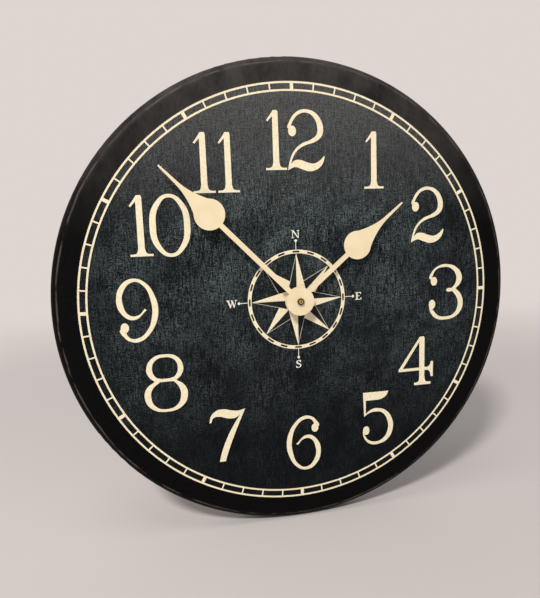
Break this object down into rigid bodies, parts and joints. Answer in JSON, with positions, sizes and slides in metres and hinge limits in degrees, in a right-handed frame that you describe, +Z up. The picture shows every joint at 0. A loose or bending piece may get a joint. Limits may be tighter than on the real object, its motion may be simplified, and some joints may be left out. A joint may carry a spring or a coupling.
{
  "type": "wall clock",
  "caption": "Round painted board wall clock with cream numerals, a compass rose, two spade hands and a battery movement let into the back.",
  "frame": {"origin": "middle of the whole clock's bounding box, on the spindle axis", "axes": "+X to the viewer's right, +Y from the dial face back to the wall, +Z up; the dial faces -Y"},
  "size_m": [0.3048, 0.0332, 0.3048],
  "materials": {
    "board_paint": "painted, satin",
    "hand_paint": "satin cream paint",
    "bronze": "darkened",
    "brass": "turned",
    "steel": "satin",
    "black_plastic": "fine grained",
    "white_plastic": "moulded",
    "copper_wire": "lacquered winding",
    "circuit_green": "lacquered laminate",
    "chip_black": "cast resin",
    "bright_can": "plated",
    "magnet": "sintered",
    "cell_jacket": "plain printed jacket, no lettering",
    "rubber_black": "matt",
    "zinc": "zinc plated"
  },
  "bodies": {
    "clock": {"dial_board": "board_paint", "rubber_gasket": "rubber_black", "threaded_bush": "brass", "brass_washer": "brass", "mounting_nut": "brass", "movement_case": "black_plastic", "rear_cover": "black_plastic", "middle_plate": "white_plastic", "stator": "steel", "coil_core": "steel", "coil_bobbin": "white_plastic", "coil_winding": "copper_wire", "circuit_board": "circuit_green", "chip_cap": "chip_black", "crystal_can": "bright_can", "contact_plus": "steel", "contact_minus": "steel", "hanger_strap": "zinc", "hanger_screws": "zinc", "wall_bumpers": "rubber_black"},
    "seconds": {"seconds_wheel": "white_plastic", "seconds_arbor": "steel"},
    "intermediate": {"intermediate_wheel": "white_plastic"},
    "rotor": {"rotor_pinion": "white_plastic", "rotor_magnet": "magnet"},
    "third": {"third_wheel": "white_plastic"},
    "clutch": {"clutch_wheel": "white_plastic"},
    "minute": {"minute_arbor": "brass", "clutch_spring": "steel", "minute_collar": "brass", "minute_hand": "hand_paint", "hand_nut": "bronze"},
    "hour": {"hour_wheel": "white_plastic", "hour_collar": "brass", "hour_hand": "hand_paint"},
    "reduction": {"reduction_wheel": "white_plastic"},
    "setting": {"setting_knob": "white_plastic"},
    "battery": {"battery_can": "cell_jacket", "battery_button": "bright_can"}
  },
  "joints": [
    {"name": "minute_hand_spin", "type": "hinge", "parent": "clock", "child": "minute", "pos_m": [0, 0, 0], "axis": [0, 1, 0], "continuous": true},
    {"name": "hour_hand_spin", "type": "hinge", "parent": "clock", "child": "hour", "pos_m": [0, 0, 0], "axis": [0, 1, 0], "continuous": true},
    {"name": "reduction_spin", "type": "hinge", "parent": "clock", "child": "reduction", "pos_m": [0.00848, 0, 0.00848], "axis": [0, 1, 0], "continuous": true},
    {"name": "setting_knob_spin", "type": "hinge", "parent": "clock", "child": "setting", "pos_m": [0.01996, 0, 0.01199], "axis": [0, 1, 0], "continuous": true},
    {"name": "seconds_wheel_spin", "type": "hinge", "parent": "clock", "child": "seconds", "pos_m": [0, 0, 0], "axis": [0, 1, 0], "continuous": true},
    {"name": "intermediate_spin", "type": "hinge", "parent": "clock", "child": "intermediate", "pos_m": [-0.0106, 0, 0.00612], "axis": [0, 1, 0], "continuous": true},
    {"name": "rotor_spin", "type": "hinge", "parent": "clock", "child": "rotor", "pos_m": [-0.01419, 0, 0.01599], "axis": [0, 1, 0], "continuous": true},
    {"name": "third_wheel_spin", "type": "hinge", "parent": "clock", "child": "third", "pos_m": [0.0117, 0, 0], "axis": [0, 1, 0], "continuous": true},
    {"name": "clutch_wheel_spin", "type": "hinge", "parent": "clock", "child": "clutch", "pos_m": [0, 0, 0], "axis": [0, 1, 0], "continuous": true},
    {"name": "battery_slide", "type": "slide", "parent": "clock", "child": "battery", "axis": [0, 1, 0], "range_m": [0, 0.03]}
  ],
  "couplings": [
    {"joint": "reduction_spin", "follows": "minute_hand_spin", "ratio": -0.33333},
    {"joint": "hour_hand_spin", "follows": "minute_hand_spin", "ratio": 0.083333},
    {"joint": "setting_knob_spin", "follows": "minute_hand_spin", "ratio": 1},
    {"joint": "intermediate_spin", "follows": "seconds_wheel_spin", "ratio": -5},
    {"joint": "rotor_spin", "follows": "seconds_wheel_spin", "ratio": 30},
    {"joint": "third_wheel_spin", "follows": "seconds_wheel_spin", "ratio": -0.13333},
    {"joint": "clutch_wheel_spin", "follows": "seconds_wheel_spin", "ratio": 0.016667}
  ]
}
